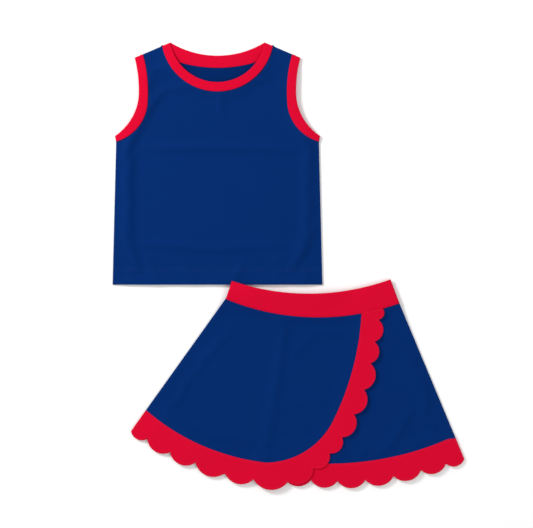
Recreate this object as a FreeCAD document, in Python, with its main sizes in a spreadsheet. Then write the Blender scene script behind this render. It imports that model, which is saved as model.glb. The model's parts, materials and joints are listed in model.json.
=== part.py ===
"""Two-piece cheer uniform laid flat: a sleeveless top and a wrap-front skirt.

Millimetres, +Z up. The garments lie on the XY plane with the fronts facing +Z and the
shoulders towards +Y. The origin is the middle of the layout, on the surface it lies on.
Left and right are as seen from above. Cloth panels are flat plates held apart by the
side seams, so that the garments stay open inside.
"""
import FreeCAD, Part
import math
import os

import Sketcher

doc = FreeCAD.newDocument("cheer_uniform")

# Every driving dimension, by its name in the sheet.
SIZES = {
    # cloth and heights above the table, top
    "cloth": 1.0,
    "binding": 1.6,
    "top_height": 7.8,
    "seam_width": 7.0,
    # outline of the top, measured from the middle of its hem
    "hem_half": 148.6,
    "side_half": 143.5,
    "side_high": 203.5,
    "underarm_half": 145.3,
    "underarm_high": 210.4,
    "armhole_half": 100.0,
    "armhole_high": 262.0,
    "strap_half": 107.0,
    "strap_high": 325.8,
    "armhole_low_radius": 61.4,
    "armhole_up_radius": 191.0,
    "sleeve_half": 111.6,
    "sleeve_high": 264.0,
    "tip_half": 117.4,
    "tip_high": 321.3,
    "sleeve_low_radius": 75.0,
    "sleeve_up_radius": 173.0,
    # neckline of the top
    "neck_half": 66.5,
    "neck_high": 343.0,
    "front_free_radius": 67.4,
    "back_free_radius": 128.8,
    "front_seam_half": 77.0,
    "front_seam_high": 338.6,
    "front_seam_radius": 78.35,
    "back_seam_half": 79.9,
    "back_seam_high": 337.3,
    "back_seam_radius": 141.1,
    "neck_tape_half": 70.0,
    "neck_tape_low": 307.3,
    "neck_tape_radius": 193.0,
    # heights inside the skirt, above its back panel's underside
    "back_casing": 2.6,
    "back_wall": 0.8,
    "elastic": 1.0,
    "underlap_low": 9.0,
    "overlap_low": 11.3,
    "front_casing": 3.3,
    "front_wall": 1.1,
    "interfacing": 1.1,
    # outline of the skirt, measured from the low point of the waistband's top edge
    "waist_left_half": 112.4,
    "waist_left_high": 18.0,
    "waist_right_half": 111.9,
    "waist_right_high": 20.1,
    "waist_top_radius": 340.0,
    "seam_left_half": 120.8,
    "seam_left_drop": 6.8,
    "seam_right_half": 124.0,
    "seam_right_drop": 12.5,
    "waist_seam_radius": 342.2,
    "hem_left_half": 255.3,
    "hem_left_drop": 195.0,
    "hem_right_half": 216.6,
    "hem_right_drop": 234.6,
    "border_left_half": 234.0,
    "border_left_drop": 165.2,
    "border_right_half": 203.0,
    "border_right_drop": 202.0,
    "wrap_half": 70.9,
    "wrap_hem_half": 64.0,
    "wrap_hem_drop": 239.2,
    "wrap_corner_half": 32.0,
    "wrap_corner_drop": 177.3,
    "hem_radius": 310.0,
    "corner_radius": 106.4,
    "edge_radius": 385.0,
    "underlap_edge_half": 40.0,
    "underlap_hem_half": 70.0,
    "underlap_radius": 427.3,
    "back_hem_radius": 770.0,
    "scallop_share": 0.27,
    "edge_scallop_share": 0.3,
    # how the skirt lies: its waist rests on the top's hem
    "skirt_tilt": 1.85,
    "top_right": -101.2,
    "top_up": -27.9,
    "skirt_right": 31.7,
    "skirt_up": -39.9,
    # the fold of the wrap's free corner, on a line at 45 degrees across the skirt
    "fold_offset": 132.1,
    "fold_gap": 0.3,
    "fold_reach": 420.0,
    "axis_rise": 0.5,
}

# Where the scallops of each border meet, from the viewer's left to right and, on the
# wrap, on up its free edge to the waist.
OVERLAP_CUSPS = (
    (-231.9, -205.6), (-200.1, -224.7), (-164.0, -239.6), (-122.3, -254.4), (-81.9, -262.9),
    (-33.1, -266.4), (3.0, -247.3), (25.6, -226.1), (43.3, -203.5), (60.3, -170.9),
    (74.4, -136.3), (83.6, -98.8), (89.3, -68.3), (94.9, -37.2),
)
UNDERLAP_CUSPS = (
    (-38.0, -261.5), (-0.6, -264.3), (36.9, -265.7), (76.6, -264.3), (116.2, -258.7),
    (155.1, -250.2), (190.5, -241.0),
)
BACK_SCALLOPS = 12
BACK_BORDER = 25.0
# The back's border stops a little short, so that it stays hidden under the front's.
BACK_SHARE = 0.97
BORDER_TOP = 100.0

sheet = doc.addObject("Spreadsheet::Sheet", "sizes")
for row, (alias, size) in enumerate(SIZES.items(), start=1):
    sheet.set(f"A{row}", alias)
    sheet.set(f"B{row}", str(size))
    sheet.setAlias(f"B{row}", alias)
doc.recompute()


def number(text):
    """The value of a sheet name, negative if a minus sign leads it, or a plain number."""
    if not isinstance(text, str):
        return text
    if text.startswith("-"):
        return -SIZES[text[1:]]
    return SIZES[text]


def formula(text):
    """A height such as 'top_height - cloth' as an expression on the sheet."""
    words = text.split(" ")
    return " ".join("sizes." + word if word in SIZES else word for word in words)


def mirrored(outline):
    """The same outline on the other side of the Y axis, still anticlockwise."""
    corners = [corner for corner, bend in outline]
    bends = [bend for corner, bend in outline]
    flipped = []
    for index in range(len(outline) - 1, -1, -1):
        across, up = corners[index]
        if isinstance(across, str):
            across = across[1:] if across.startswith("-") else "-" + across
        else:
            across = -across
        flipped.append(((across, up), bends[index - 1]))
    return flipped


def arc_between(start, end, radius):
    """An arc from start to end: it bulges out of an anticlockwise outline, or into it
    if the radius is negative. Returns the arc and whether it runs backwards."""
    run = end - start
    half = run.Length / 2
    rise = math.sqrt(radius * radius - half * half)
    inward = FreeCAD.Vector(-run.y, run.x, 0).normalize()
    side = 1 if radius > 0 else -1
    centre = (start + end) * 0.5 + inward * rise * side
    first, last = (start, end) if radius > 0 else (end, start)
    angles = [math.atan2(spot.y - centre.y, spot.x - centre.x) for spot in (first, last)]
    if angles[1] < angles[0]:
        angles[1] += 2 * math.pi
    circle = Part.Circle(centre, FreeCAD.Vector(0, 0, 1), abs(radius))
    return Part.ArcOfCircle(circle, angles[0], angles[1]), radius < 0


def bind(sketch, constraint, text):
    """Add a constraint and tie it to the sheet if its value has a name there."""
    index = sketch.addConstraint(constraint)
    if isinstance(text, str):
        name = f"size{index}"
        sketch.renameConstraint(index, name)
        sign = "-" if text.startswith("-") else ""
        sketch.setExpression("Constraints." + name, sign + "sizes." + text.lstrip("-"))


def draw(sketch, outline):
    """Draw one closed anticlockwise outline of (corner, bend to the next corner)."""
    spots = [FreeCAD.Vector(number(x), number(y), 0) for (x, y), bend in outline]
    ends = []
    for index, (corner, bend) in enumerate(outline):
        start = spots[index]
        end = spots[(index + 1) % len(spots)]
        if bend is None:
            edge = sketch.addGeometry(Part.LineSegment(start, end), False)
            ends.append((edge, 1, 2))
            continue
        arc, backwards = arc_between(start, end, number(bend))
        edge = sketch.addGeometry(arc, False)
        ends.append((edge, 2, 1) if backwards else (edge, 1, 2))
    for index, (corner, bend) in enumerate(outline):
        edge, first, last = ends[index]
        following, next_first = ends[(index + 1) % len(ends)][:2]
        sketch.addConstraint(Sketcher.Constraint("Coincident", edge, last, following, next_first))
        for kind, text in zip(("DistanceX", "DistanceY"), corner):
            bind(sketch, Sketcher.Constraint(kind, -1, 1, edge, first, number(text)), text)
        if bend is not None:
            name = bend.lstrip("-") if isinstance(bend, str) else abs(bend)
            bind(sketch, Sketcher.Constraint("Radius", edge, abs(number(bend))), name)


def sketch_on_plane(body, name, outlines, height):
    """A sketch of closed outlines on the body's own XY plane, at a height."""
    plane = next(item for item in body.Origin.OriginFeatures if item.Role == "XY_Plane")
    sketch = body.newObject("Sketcher::SketchObject", name)
    sketch.AttachmentSupport = [(plane, "")]
    sketch.MapMode = "FlatFace"
    sketch.setExpression("AttachmentOffset.Base.z", formula(height))
    for outline in outlines:
        draw(sketch, outline)
    return sketch


def garment_piece(name, layers):
    """One piece of cloth: each layer is (outlines, low height, thickness)."""
    body = doc.addObject("PartDesign::Body", name)
    body.Label = name
    for index, (outlines, low, thickness) in enumerate(layers):
        sketch = sketch_on_plane(body, f"{name}_sketch{index}", outlines, low)
        pad = body.newObject("PartDesign::Pad", f"{name}_pad{index}")
        pad.Profile = sketch
        pad.setExpression("Length", formula(thickness))
        sketch.Visibility = False
    return body


def low_point_height(half, high, radius, across):
    """Height at one distance across a dipping arc with its ends at (+-half, high)."""
    centre = high + math.sqrt(radius**2 - half**2)
    return centre - math.sqrt(radius**2 - across**2)


# --- the top ---------------------------------------------------------------------------

def top_panel(seam_half, seam_high, seam_radius):
    """Outline of a front or back panel of the top: only its neckline differs."""
    right = [
        (("hem_half", 0.0), None),
        (("side_half", "side_high"), "-armhole_low_radius"),
        (("armhole_half", "armhole_high"), "-armhole_up_radius"),
        (("strap_half", "strap_high"), None),
    ]
    left = mirrored(right)
    corners = [corner for corner, bend in left]
    bends = ["-armhole_up_radius", "-armhole_low_radius", None, None]
    neck = [((seam_half, seam_high), "-" + seam_radius), (("-" + seam_half, seam_high), None)]
    return right + neck + list(zip(corners, bends))


def neck_strip(seam_half, seam_high, seam_radius, free_radius):
    """Outline of the neckband in front or at the back, between its seam and its fold."""
    return [
        (("-" + seam_half, seam_high), seam_radius),
        ((seam_half, seam_high), None),
        (("neck_half", "neck_high"), "-" + free_radius),
        (("-neck_half", "neck_high"), None),
    ]


NECK_LINK = [
    ((66.0, 337.0), None),
    ((75.8, 335.2), None),
    (("front_seam_half", "front_seam_high"), None),
    (("neck_half", "neck_high"), None),
]
ARMHOLE_STRIP = [
    (("side_half", "side_high"), None),
    (("underarm_half", "underarm_high"), "-sleeve_low_radius"),
    (("sleeve_half", "sleeve_high"), "-sleeve_up_radius"),
    (("tip_half", "tip_high"), None),
    (("strap_half", "strap_high"), "armhole_up_radius"),
    (("armhole_half", "armhole_high"), "armhole_low_radius"),
]
SHOULDER_LINK = [
    ((105.8, 319.8), None),
    ((115.3, 315.0), None),
    (("tip_half", "tip_high"), None),
    (("strap_half", "strap_high"), None),
]
UNDERARM_LINK = [
    (("side_half", "side_high"), None),
    (("underarm_half", "underarm_high"), None),
    ((139.5, 214.0), None),
    ((136.5, 207.5), None),
]
SHOULDER_TAPE = [
    ((81.0, 329.3), None),
    ((104.5, 319.4), None),
    ((106.0, 326.2), None),
    ((81.0, 336.8), None),
]
SIDE_SEAM = [
    ((141.6, 0.0), None),
    (("hem_half", 0.0), None),
    (("side_half", "side_high"), None),
    ((136.5, 203.5), None),
]
FRONT_NECK = ("front_seam_half", "front_seam_high", "front_seam_radius")
BACK_NECK = ("back_seam_half", "back_seam_high", "back_seam_radius")

top = [
    garment_piece("top_back_panel", [([top_panel(*BACK_NECK)], "0", "cloth")]),
    garment_piece("top_front_panel", [([top_panel(*FRONT_NECK)], "top_height - cloth", "cloth")]),
]

# The binding of the neck: a strip in front, a strip at the back, joined at the shoulders.
top.append(garment_piece("neckband", [
    ([neck_strip(*BACK_NECK, "back_free_radius")], "0", "binding"),
    ([NECK_LINK, mirrored(NECK_LINK)], "binding", "top_height - 2 * binding"),
    ([neck_strip(*FRONT_NECK, "front_free_radius")], "top_height - binding", "binding"),
]))

# The tape that covers the seam inside the back of the neck.
tape_high = low_point_height(
    SIZES["back_seam_half"], SIZES["back_seam_high"], SIZES["back_seam_radius"],
    SIZES["neck_tape_half"])
tape_reach = math.sqrt(SIZES["neck_tape_radius"] ** 2 - SIZES["neck_tape_half"] ** 2)
tape_end = SIZES["neck_tape_low"] + SIZES["neck_tape_radius"] - tape_reach
top.append(garment_piece("back_neck_tape", [([[
    (("-neck_tape_half", tape_end), "neck_tape_radius"),
    (("neck_tape_half", tape_end), None),
    (("neck_tape_half", tape_high), "-back_seam_radius"),
    (("-neck_tape_half", tape_high), None),
]], "cloth", "binding - cloth")]))

for side, place in (("left", mirrored), ("right", list)):
    top.append(garment_piece(f"{side}_armhole_band", [
        ([place(ARMHOLE_STRIP)], "0", "binding"),
        ([place(SHOULDER_LINK), place(UNDERARM_LINK)], "binding", "top_height - 2 * binding"),
        ([place(ARMHOLE_STRIP)], "top_height - binding", "binding"),
    ]))
    top.append(garment_piece(f"{side}_shoulder_tape", [
        ([place(SHOULDER_TAPE)], "cloth", "top_height - 2 * cloth"),
    ]))
    top.append(garment_piece(f"{side}_side_seam", [
        ([place(SIDE_SEAM)], "cloth", "top_height - 2 * cloth"),
    ]))


# --- the skirt -------------------------------------------------------------------------

SEAM_LEFT = FreeCAD.Vector(-SIZES["seam_left_half"], -SIZES["seam_left_drop"], 0)
SEAM_RIGHT = FreeCAD.Vector(SIZES["seam_right_half"], -SIZES["seam_right_drop"], 0)
SEAM_ARC = arc_between(SEAM_LEFT, SEAM_RIGHT, SIZES["waist_seam_radius"])[0]
SEAM_CENTRE = SEAM_ARC.Center


def waist_seam(across):
    """Height of the waist seam at one distance across the skirt."""
    radius = SIZES["waist_seam_radius"]
    return SEAM_CENTRE.y - math.sqrt(radius**2 - (across - SEAM_CENTRE.x) ** 2)


def scallops(corners, edge_from=math.inf):
    """Arcs from cusp to cusp. Each bulges by a share of its width, and by more on the
    wrap's free edge, which starts beyond a distance across the skirt."""
    steps = []
    for (x, y), (next_x, next_y) in zip(corners, corners[1:]):
        chord = math.hypot(next_x - x, next_y - y)
        share = SIZES["edge_scallop_share"] if next_x > edge_from else SIZES["scallop_share"]
        depth = share * chord
        steps.append(((x, y), chord**2 / (8 * depth) + depth / 2))
    return steps


HEM_LEFT = (-SIZES["hem_left_half"], -SIZES["hem_left_drop"])
HEM_RIGHT = (SIZES["hem_right_half"], -SIZES["hem_right_drop"])
BORDER_LEFT = ("-border_left_half", "-border_left_drop")
BORDER_RIGHT = ("border_right_half", "-border_right_drop")
LOW_WRAP = ("-wrap_hem_half", "-wrap_hem_drop")
CORNER_WRAP = ("wrap_corner_half", "-wrap_corner_drop")
WRAP_TOP = ("wrap_half", waist_seam(SIZES["wrap_half"]))
WAIST_LEFT = ("-seam_left_half", "-seam_left_drop")
WAIST_RIGHT = ("seam_right_half", "-seam_right_drop")
UNDERLAP_TOP = ("-underlap_edge_half", waist_seam(-SIZES["underlap_edge_half"]))
UNDERLAP_HEM = ("-underlap_hem_half", -230.4)

WAISTBAND = [
    (WAIST_LEFT, "waist_seam_radius"),
    (WAIST_RIGHT, None),
    (("waist_right_half", "waist_right_high"), "-waist_top_radius"),
    (("-waist_left_half", "waist_left_high"), None),
]
BAND_HOLLOW = [
    ((-112.0, -5.5), 334.0),
    ((116.0, -11.0), None),
    ((107.0, 14.5), -344.0),
    ((-107.0, 13.0), None),
]
OVERLAP = [
    (BORDER_LEFT, "hem_radius"),
    (LOW_WRAP, "corner_radius"),
    (CORNER_WRAP, "edge_radius"),
    (WRAP_TOP, "-waist_seam_radius"),
    (WAIST_LEFT, None),
]
overlap_edge = (HEM_LEFT,) + OVERLAP_CUSPS + ((BORDER_TOP, waist_seam(BORDER_TOP)),)
OVERLAP_BORDER = scallops(overlap_edge, edge_from=0.0) + [
    (overlap_edge[-1], "-waist_seam_radius"),
    (WRAP_TOP, "-edge_radius"),
    (CORNER_WRAP, "-corner_radius"),
    (LOW_WRAP, "-hem_radius"),
    (BORDER_LEFT, None),
]
UNDERLAP = [
    (UNDERLAP_HEM, "underlap_radius"),
    (BORDER_RIGHT, None),
    (WAIST_RIGHT, "-waist_seam_radius"),
    (UNDERLAP_TOP, None),
]
UNDERLAP_HEM_END = (-75.0, -256.0)
underlap_edge = (UNDERLAP_HEM_END,) + UNDERLAP_CUSPS + (HEM_RIGHT,)
UNDERLAP_BORDER = scallops(underlap_edge) + [
    (HEM_RIGHT, None),
    (BORDER_RIGHT, "-underlap_radius"),
    (UNDERLAP_HEM, None),
]
BACK = [
    (BORDER_LEFT, "back_hem_radius"),
    (BORDER_RIGHT, None),
    (WAIST_RIGHT, "-waist_seam_radius"),
    (WAIST_LEFT, None),
]


def back_edge():
    """Cusps of the back border, evenly spaced on an arc between the two side seams."""
    start = SEAM_LEFT + (FreeCAD.Vector(*HEM_LEFT, 0) - SEAM_LEFT) * BACK_SHARE
    end = SEAM_RIGHT + (FreeCAD.Vector(*HEM_RIGHT, 0) - SEAM_RIGHT) * BACK_SHARE
    arc = arc_between(start, end, SIZES["back_hem_radius"] + BACK_BORDER)[0]
    spots = arc.discretize(Number=BACK_SCALLOPS + 1)
    return [(spot.x, spot.y) for spot in spots]


BACK_EDGE = back_edge()
BACK_BORDER_OUTLINE = scallops(BACK_EDGE) + [
    (BACK_EDGE[-1], None),
    (BORDER_RIGHT, "-back_hem_radius"),
    (BORDER_LEFT, None),
]


def along(start, end, share):
    """A point on a side seam at a share of its length."""
    return (start[0] + (end[0] - start[0]) * share, start[1] + (end[1] - start[1]) * share)


# The waistband's top edge is this much lower a seam's width in from its end.
EDGE_DIP = 2.6


def side_strips(waist_end, seam_end, border_end, hem_end, inward):
    """The three stretches of a side seam: waistband, panel and border."""
    inset = inward * SIZES["seam_width"]
    # The border's stretch ends short of the hem, where the edge turns.
    outer = [waist_end, seam_end, border_end, along(border_end, hem_end, 0.9)]
    inner = [(across + inset, up) for across, up in outer]
    inner[0] = (inner[0][0], inner[0][1] - EDGE_DIP)
    inner[1] = (inner[1][0], waist_seam(inner[1][0]))
    strips = []
    for index in range(3):
        corners = [outer[index], outer[index + 1], inner[index + 1], inner[index]]
        if inward < 0:
            corners.reverse()
        strips.append([(corner, None) for corner in corners])
    return strips


left_strips = side_strips(
    (-SIZES["waist_left_half"], SIZES["waist_left_high"]), (SEAM_LEFT.x, SEAM_LEFT.y),
    (-SIZES["border_left_half"], -SIZES["border_left_drop"]), HEM_LEFT, 1)
right_strips = side_strips(
    (SIZES["waist_right_half"], SIZES["waist_right_high"]), (SEAM_RIGHT.x, SEAM_RIGHT.y),
    (SIZES["border_right_half"], -SIZES["border_right_drop"]), HEM_RIGHT, -1)

skirt = [
    garment_piece("skirt_back_panel", [([BACK], "0", "cloth")]),
    garment_piece("back_border", [([BACK_BORDER_OUTLINE], "0", "cloth")]),
    garment_piece("back_facing", [([BACK_BORDER_OUTLINE], "cloth", "cloth")]),
    garment_piece("back_waistband", [
        ([WAISTBAND], "0", "back_wall"),
        ([WAISTBAND, BAND_HOLLOW], "back_wall", "back_casing - 2 * back_wall"),
        ([WAISTBAND], "back_casing - back_wall", "back_wall"),
    ]),
    garment_piece("waist_elastic", [([BAND_HOLLOW], "back_wall", "elastic")]),
    garment_piece("front_waistband", [
        ([WAISTBAND], "underlap_low", "front_wall"),
        ([WAISTBAND, BAND_HOLLOW], "underlap_low + front_wall", "front_casing - 2 * front_wall"),
        ([WAISTBAND], "underlap_low + front_casing - front_wall", "front_wall"),
    ]),
    garment_piece("waistband_interfacing", [
        ([BAND_HOLLOW], "underlap_low + front_wall", "interfacing"),
    ]),
    garment_piece("underlap_panel", [([UNDERLAP], "underlap_low", "cloth")]),
    garment_piece("underlap_border", [([UNDERLAP_BORDER], "underlap_low", "cloth")]),
    garment_piece("underlap_facing", [([UNDERLAP_BORDER], "underlap_low - cloth", "cloth")]),
    garment_piece("skirt_left_seam", [
        ([left_strips[0]], "back_casing", "underlap_low - back_casing"),
        ([left_strips[1]], "cloth", "overlap_low - cloth"),
        ([left_strips[2]], "2 * cloth", "overlap_low - 3 * cloth"),
    ]),
    garment_piece("skirt_right_seam", [
        ([right_strips[0]], "back_casing", "underlap_low - back_casing"),
        ([right_strips[1]], "cloth", "underlap_low - cloth"),
        ([right_strips[2]], "2 * cloth", "underlap_low - 3 * cloth"),
    ]),
]


# --- the wrap's front, split where its free corner folds back ----------------------------

def fold_side(name, side):
    """A wide block on one side of the fold line, which takes that side's cloth away.
    Side is -1 for the sewn side and 1 for the free corner."""
    offset = SIZES["fold_offset"]
    across = FreeCAD.Vector(1, -1, 0).normalize()
    ahead = FreeCAD.Vector(1, 1, 0).normalize()
    foot = FreeCAD.Vector(offset / 2, -offset / 2, 0) - across * SIZES["fold_gap"] * side
    reach = SIZES["fold_reach"]
    block = doc.addObject("Part::Box", name)
    for size, length in (("Length", "fold_reach"), ("Width", "2 * fold_reach"),
                         ("Height", "4 * front_casing")):
        block.setExpression(size, formula(length))
    start = foot - ahead * reach if side > 0 else foot + ahead * reach
    angle = -45 if side > 0 else 135
    # The block stands away from the cloth it leaves, beyond the gap in the fold.
    turn = FreeCAD.Rotation(FreeCAD.Vector(0, 0, 1), angle)
    block.Placement = FreeCAD.Placement(start + FreeCAD.Vector(0, 0, 5), turn)
    return block


def folded_pair(name, outline, low):
    """The same cloth twice: the part sewn to the skirt and the free corner."""
    pieces = []
    for part_name, side in (("sewn", 1), ("flap", -1)):
        whole = garment_piece(f"{name}_{part_name}_whole", [([outline], low, "cloth")])
        cut = doc.addObject("Part::Cut", f"{name}_{part_name}")
        cut.Label = f"{name}_{part_name}"
        cut.Base = whole
        cut.Tool = fold_side(f"{name}_{part_name}_beyond", side)
        pieces.append(cut)
    return pieces


flap = []
for name, outline, low in (
    ("overlap_panel", OVERLAP, "overlap_low"),
    ("overlap_border", OVERLAP_BORDER, "overlap_low"),
    ("overlap_facing", OVERLAP_BORDER, "overlap_low - cloth"),
):
    sewn, free = folded_pair(name, outline, low)
    skirt.append(sewn)
    flap.append(free)

doc.recompute()


# --- laying the two garments out -----------------------------------------------------------

tilt = SIZES["skirt_tilt"]
turn = FreeCAD.Rotation(FreeCAD.Vector(1, 0, 0), tilt)
back_shape = next(piece for piece in skirt if piece.Label == "back_border").Shape
hem_reach = -back_shape.BoundBox.YMin
skirt_rise = hem_reach * math.sin(math.radians(tilt))
top_place = FreeCAD.Placement(
    FreeCAD.Vector(SIZES["top_right"], SIZES["top_up"], 0), FreeCAD.Rotation())
skirt_place = FreeCAD.Placement(
    FreeCAD.Vector(SIZES["skirt_right"], SIZES["skirt_up"], skirt_rise), turn)

for piece in top:
    piece.Placement = top_place
for piece in skirt + flap:
    piece.Placement = skirt_place
doc.recompute()

# Bring the middle of the whole layout onto the origin.
pieces = top + skirt + flap
extent = FreeCAD.BoundBox()
for piece in pieces:
    extent.add(piece.Shape.optimalBoundingBox(False))
centring = FreeCAD.Vector(-extent.Center.x, -extent.Center.y, 0)
for piece in pieces:
    place = piece.Placement
    place.Base = place.Base + centring
    piece.Placement = place
doc.recompute()

for item in doc.Objects:
    if "Invalid" in item.State or "Error" in item.State:
        raise RuntimeError(f"{item.Name} failed: {item.State}")
for piece in pieces:
    if piece.Shape.isNull() or not piece.Shape.isValid() or not piece.Shape.Solids:
        raise RuntimeError(f"{piece.Label} has no valid solid")

os.makedirs("parts", exist_ok=True)
for piece in pieces:
    piece.Shape.exportStep(f"parts/{piece.Label}.step")

fold_middle = FreeCAD.Vector(
    SIZES["fold_offset"] / 2, -SIZES["fold_offset"] / 2,
    SIZES["underlap_low"] + SIZES["front_casing"] + SIZES["axis_rise"])
hinge = skirt[0].Placement.multVec(fold_middle)
axis = turn.multVec(FreeCAD.Vector(-1, -1, 0).normalize())
print("fold hinge at", [round(value, 3) for value in hinge], "along",
      [round(value, 6) for value in axis])
print("top at", [round(value, 3) for value in top[0].Placement.Base],
      "skirt at", [round(value, 3) for value in skirt[0].Placement.Base])
print("layout spans", [round(value, 2) for value in (extent.XLength, extent.YLength, extent.ZMax)])
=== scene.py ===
"""Looks of the two-piece cheer uniform: every piece of cloth is built round the plan
outline of its CAD node, laid in soft layers on the floor, and given its own fabric."""
import json
import math

import bpy
import numpy as np
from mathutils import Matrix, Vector, kdtree
from mathutils.geometry import delaunay_2d_cdt

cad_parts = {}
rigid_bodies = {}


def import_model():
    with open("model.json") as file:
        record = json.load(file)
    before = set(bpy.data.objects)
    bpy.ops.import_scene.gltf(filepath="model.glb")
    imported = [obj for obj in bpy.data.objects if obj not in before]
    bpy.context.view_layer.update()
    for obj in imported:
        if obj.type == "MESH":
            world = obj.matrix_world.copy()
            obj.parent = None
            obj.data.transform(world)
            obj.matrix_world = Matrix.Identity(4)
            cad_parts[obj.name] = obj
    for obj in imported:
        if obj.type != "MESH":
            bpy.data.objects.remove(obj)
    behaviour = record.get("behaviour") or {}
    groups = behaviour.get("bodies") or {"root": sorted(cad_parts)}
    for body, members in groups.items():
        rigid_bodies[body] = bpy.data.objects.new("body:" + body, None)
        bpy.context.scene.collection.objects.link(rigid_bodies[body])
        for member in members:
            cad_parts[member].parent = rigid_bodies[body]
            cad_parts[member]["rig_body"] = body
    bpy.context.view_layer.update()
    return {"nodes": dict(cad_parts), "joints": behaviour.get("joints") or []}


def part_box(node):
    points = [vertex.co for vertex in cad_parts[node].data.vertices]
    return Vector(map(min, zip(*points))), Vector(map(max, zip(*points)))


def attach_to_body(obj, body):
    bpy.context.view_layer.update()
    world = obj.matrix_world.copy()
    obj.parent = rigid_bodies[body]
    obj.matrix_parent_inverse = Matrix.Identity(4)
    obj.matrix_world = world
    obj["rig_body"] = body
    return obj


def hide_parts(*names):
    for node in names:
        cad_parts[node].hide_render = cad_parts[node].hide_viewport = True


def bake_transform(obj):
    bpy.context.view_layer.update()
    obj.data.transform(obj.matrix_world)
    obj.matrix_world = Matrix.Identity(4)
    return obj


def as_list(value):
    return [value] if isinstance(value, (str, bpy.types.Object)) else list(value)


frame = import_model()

MM = 0.001
NODES = frame["nodes"]
JOINTS = {joint["name"]: joint for joint in frame["joints"]}

# --- where the two garments lie ----------------------------------------------------------

# The top: the middle of its hem. The skirt: the low point of the waistband's top edge.
TOP_LOW, TOP_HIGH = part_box("top_front_panel")
TOP_AT = np.array([(TOP_LOW.x + TOP_HIGH.x) / 2, TOP_LOW.y])
FOLD_AT = Vector(JOINTS["wrap_fold"]["pos_m"])
FOLD_AXIS = Vector(JOINTS["wrap_fold"]["axis"])
FOLD_ACROSS = Vector((-FOLD_AXIS.y, FOLD_AXIS.x, 0)).normalized()
# The foot of the fold line lies this far right of the skirt's own origin, and below it.
FOLD_FOOT = 66.05 * MM
SKIRT_AT = np.array([FOLD_AT.x - FOLD_FOOT, FOLD_AT.y + FOLD_FOOT + 0.4 * MM])
TILT = math.atan2(-FOLD_AXIS.z, -FOLD_AXIS.y)

# Edges that hold the front and the back together, in each garment's own plan, with the
# sizes that the CAD outlines are drawn to.
SIDE_TOP = ((148.6 * MM, 0.0), (144.5 * MM, 207.0 * MM))
SHOULDER = ((66.5 * MM, 343.0 * MM), (117.4 * MM, 321.3 * MM))
SKIRT_LEFT = ((-120.8 * MM, -6.8 * MM), (-255.3 * MM, -195.0 * MM))
SKIRT_RIGHT = ((124.0 * MM, -12.5 * MM), (216.6 * MM, -234.6 * MM))
WAIST_LEFT_END = (-112.4 * MM, 18.0 * MM)
WAIST_RIGHT_END = (111.9 * MM, 20.1 * MM)
WAIST_SEAM_CENTRE = (9.0 * MM, 309.9 * MM)
WAIST_SEAM_RADIUS = 342.2 * MM
TOP_CORNER = 148.6 * MM

# --- small geometry ----------------------------------------------------------------------


def smooth(value, low, high):
    """0 below low and 1 above high, with an even slope between."""
    share = np.clip((np.asarray(value, float) - low) / (high - low), 0, 1)
    return share * share * (3 - 2 * share)


def from_segment(points, start, end):
    """Distance of each plan point from a straight segment."""
    start, end = np.array(start), np.array(end)
    along = end - start
    share = np.clip(((points - start) @ along) / (along @ along), 0, 1)
    return np.linalg.norm(points - (start + share[:, None] * along), axis=1)


def signed_area(loop):
    x, y = loop.T
    return float(np.sum(x * np.roll(y, -1) - y * np.roll(x, -1))) / 2


def plan_area(loop):
    return abs(signed_area(loop))


FLAT_FACE = 0.99
SAME_LEVEL = 0.3 * MM
BESIDE_FOLD = 0.5 * MM
SAME_SPOT = 2 * MM


def outer_faces(node, upward):
    """The faces of a node's upper or under side, at the slope its garment lies at."""
    side = 1 if upward else -1
    slope = 0 if node["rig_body"] == "top" else math.tan(TILT)
    levels = [(side * (face.center.z - face.center.y * slope), face)
              for face in node.data.polygons if side * face.normal.z > FLAT_FACE]
    outermost = max(level for level, face in levels)
    return [face for level, face in levels if outermost - level <= SAME_LEVEL]


def rounded(plan):
    return (round(float(plan[0]), 5), round(float(plan[1]), 5))


def chained(pairs):
    """Closed anticlockwise loops made of edges that are given as pairs of points."""
    links = {}
    for pair in pairs:
        first, last = tuple(pair)
        links.setdefault(first, []).append(last)
        links.setdefault(last, []).append(first)
    loops = []
    while any(links.values()):
        start = min(spot for spot, ends in links.items() if ends)
        loop, here = [start], start
        while links[here]:
            ahead = links[here].pop()
            links[ahead].remove(here)
            here = ahead
            if here == start:
                break
            loop.append(here)
        loop = np.array(loop)
        loops.append(loop if signed_area(loop) > 0 else loop[::-1])
    return sorted(loops, key=len, reverse=True)


def outlines(names, upward=True):
    """Plan loops round the upper (or under) faces of some CAD nodes, joined into one
    piece where two nodes meet along the fold of the wrap."""
    across = np.array(FOLD_ACROSS[:2])
    middle = np.array(FOLD_AT[:2])
    fold_spots = []

    def spot(point):
        plan = np.array(point[:2])
        off = (plan - middle) @ across
        if len(names) == 1 or abs(off) >= BESIDE_FOLD:
            return rounded(plan)
        plan = plan - across * off
        for known in fold_spots:
            if np.linalg.norm(known - plan) < SAME_SPOT:
                return rounded(known)
        fold_spots.append(plan)
        return rounded(plan)

    counts = {}
    for name in names:
        mesh = NODES[name].data
        for face in outer_faces(NODES[name], upward):
            corners = [spot(mesh.vertices[index].co) for index in face.vertices]
            for first, last in zip(corners, corners[1:] + corners[:1]):
                if first != last:
                    pair = frozenset((first, last))
                    counts[pair] = counts.get(pair, 0) + 1
    on_fold = {rounded(known) for known in fold_spots}
    return chained(pair for pair, count in counts.items() if count == 1 and not pair <= on_fold)


def turns(loop):
    """How far a loop turns at each of its points, in degrees."""
    ahead = np.roll(loop, -1, 0) - loop
    behind = loop - np.roll(loop, 1, 0)
    angle = np.arctan2(ahead[:, 1], ahead[:, 0]) - np.arctan2(behind[:, 1], behind[:, 0])
    return np.degrees((angle + np.pi) % (2 * np.pi) - np.pi)


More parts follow.
